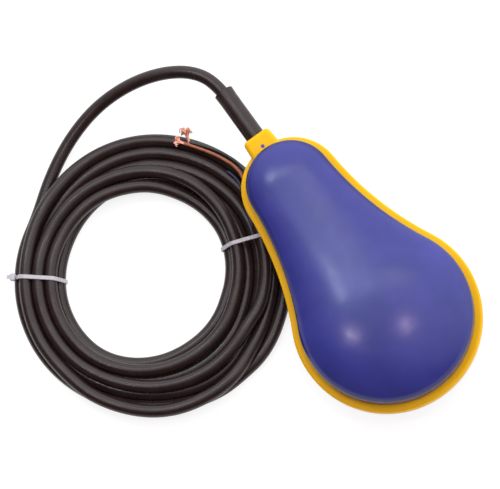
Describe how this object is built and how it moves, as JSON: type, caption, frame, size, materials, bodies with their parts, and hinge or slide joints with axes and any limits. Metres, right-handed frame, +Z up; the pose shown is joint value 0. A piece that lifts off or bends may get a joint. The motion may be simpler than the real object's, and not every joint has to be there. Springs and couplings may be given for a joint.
{
  "type": "float switch",
  "caption": "Pear-shaped tethered float switch: shells in a moulded band, rubber boot, sealed snap switch with a rolling ball, and a tied coil of cable with stripped cores.",
  "frame": {"origin": "under the middle of the float, boot included, on the surface that the float rests on", "axes": "+Y runs along the float from its bulb to its cable boot, +Z is up, and +X is to the right seen from above with the cable boot away from the viewer"},
  "size_m": [0.2421, 0.2764, 0.0594],
  "materials": {
    "blue_shell": "satin moulded polypropylene",
    "yellow_band": "satin overmoulded polypropylene",
    "black_rubber": "satin rubber cable sheath",
    "seal_rubber": "matte rubber",
    "potting_resin": "cast resin",
    "capsule_plastic": "moulded nylon",
    "switch_plastic": "moulded phenolic",
    "button_plastic": "moulded acetal",
    "nylon_tie": "natural nylon",
    "steel": "zinc plated steel",
    "ball_steel": "polished bearing steel",
    "cast_weight": "raw casting",
    "contact_brass": "tinned brass",
    "copper": "bare stranded copper",
    "core_brown": "PVC core insulation",
    "core_black": "PVC core insulation",
    "core_blue": "PVC core insulation"
  },
  "bodies": {
    "float": {"upper_shell": "blue_shell", "lower_shell": "blue_shell", "boot_lock_pins": "blue_shell", "seal_band": "yellow_band", "cable_boot": "black_rubber", "cable_entry": "black_rubber", "cable_lead": "black_rubber", "cable_coil": "black_rubber", "gland_grommet": "black_rubber", "capsule_gasket": "seal_rubber", "wire_seal": "seal_rubber", "potting_plug": "potting_resin", "capsule_body": "capsule_plastic", "capsule_lid": "capsule_plastic", "ball_track": "capsule_plastic", "cable_clamp": "capsule_plastic", "switch_case": "switch_plastic", "switch_cover": "switch_plastic", "cable_tie_left": "nylon_tie", "cable_tie_right": "nylon_tie", "clamp_screws": "steel", "lid_screws": "steel", "mount_screws": "steel", "ballast_screws": "steel", "lever_pin": "steel", "switch_bracket": "steel", "switch_rivets": "steel", "ballast_weight": "cast_weight", "open_terminal": "contact_brass", "closed_terminal": "contact_brass", "common_terminal": "contact_brass", "crimp_receptacles": "contact_brass", "core_strands": "copper", "core_brown": "core_brown", "inner_wire_brown": "core_brown", "core_black": "core_black", "inner_wire_black": "core_black", "core_blue": "core_blue", "inner_wire_blue": "core_blue"},
    "ball": {"steel_ball": "ball_steel"},
    "lever": {"actuator_lever": "steel"},
    "button": {"plunger": "button_plastic"},
    "blade": {"contact_blade": "contact_brass"}
  },
  "joints": [
    {"name": "ball_roll", "type": "slide", "parent": "float", "child": "ball", "axis": [0, 1, 0], "range_m": [0, 0.0061]},
    {"name": "lever_swing", "type": "hinge", "parent": "float", "child": "lever", "pos_m": [0, -0.016, 0.03853], "axis": [1, 0, 0], "range_deg": [0, 22.05]},
    {"name": "button_press", "type": "slide", "parent": "float", "child": "button", "axis": [0, 1, 0], "range_m": [0, 0.00121]},
    {"name": "blade_flex", "type": "hinge", "parent": "float", "child": "blade", "pos_m": [0, -0.012, 0.02203], "axis": [-1, 0, 0], "range_deg": [0, 5.2]}
  ],
  "couplings": [
    {"joint": "lever_swing", "follows": "ball_roll", "rad_per_m": 62.946},
    {"joint": "button_press", "follows": "ball_roll", "ratio": 0.19672},
    {"joint": "blade_flex", "follows": "ball_roll", "rad_per_m": 14.735}
  ]
}
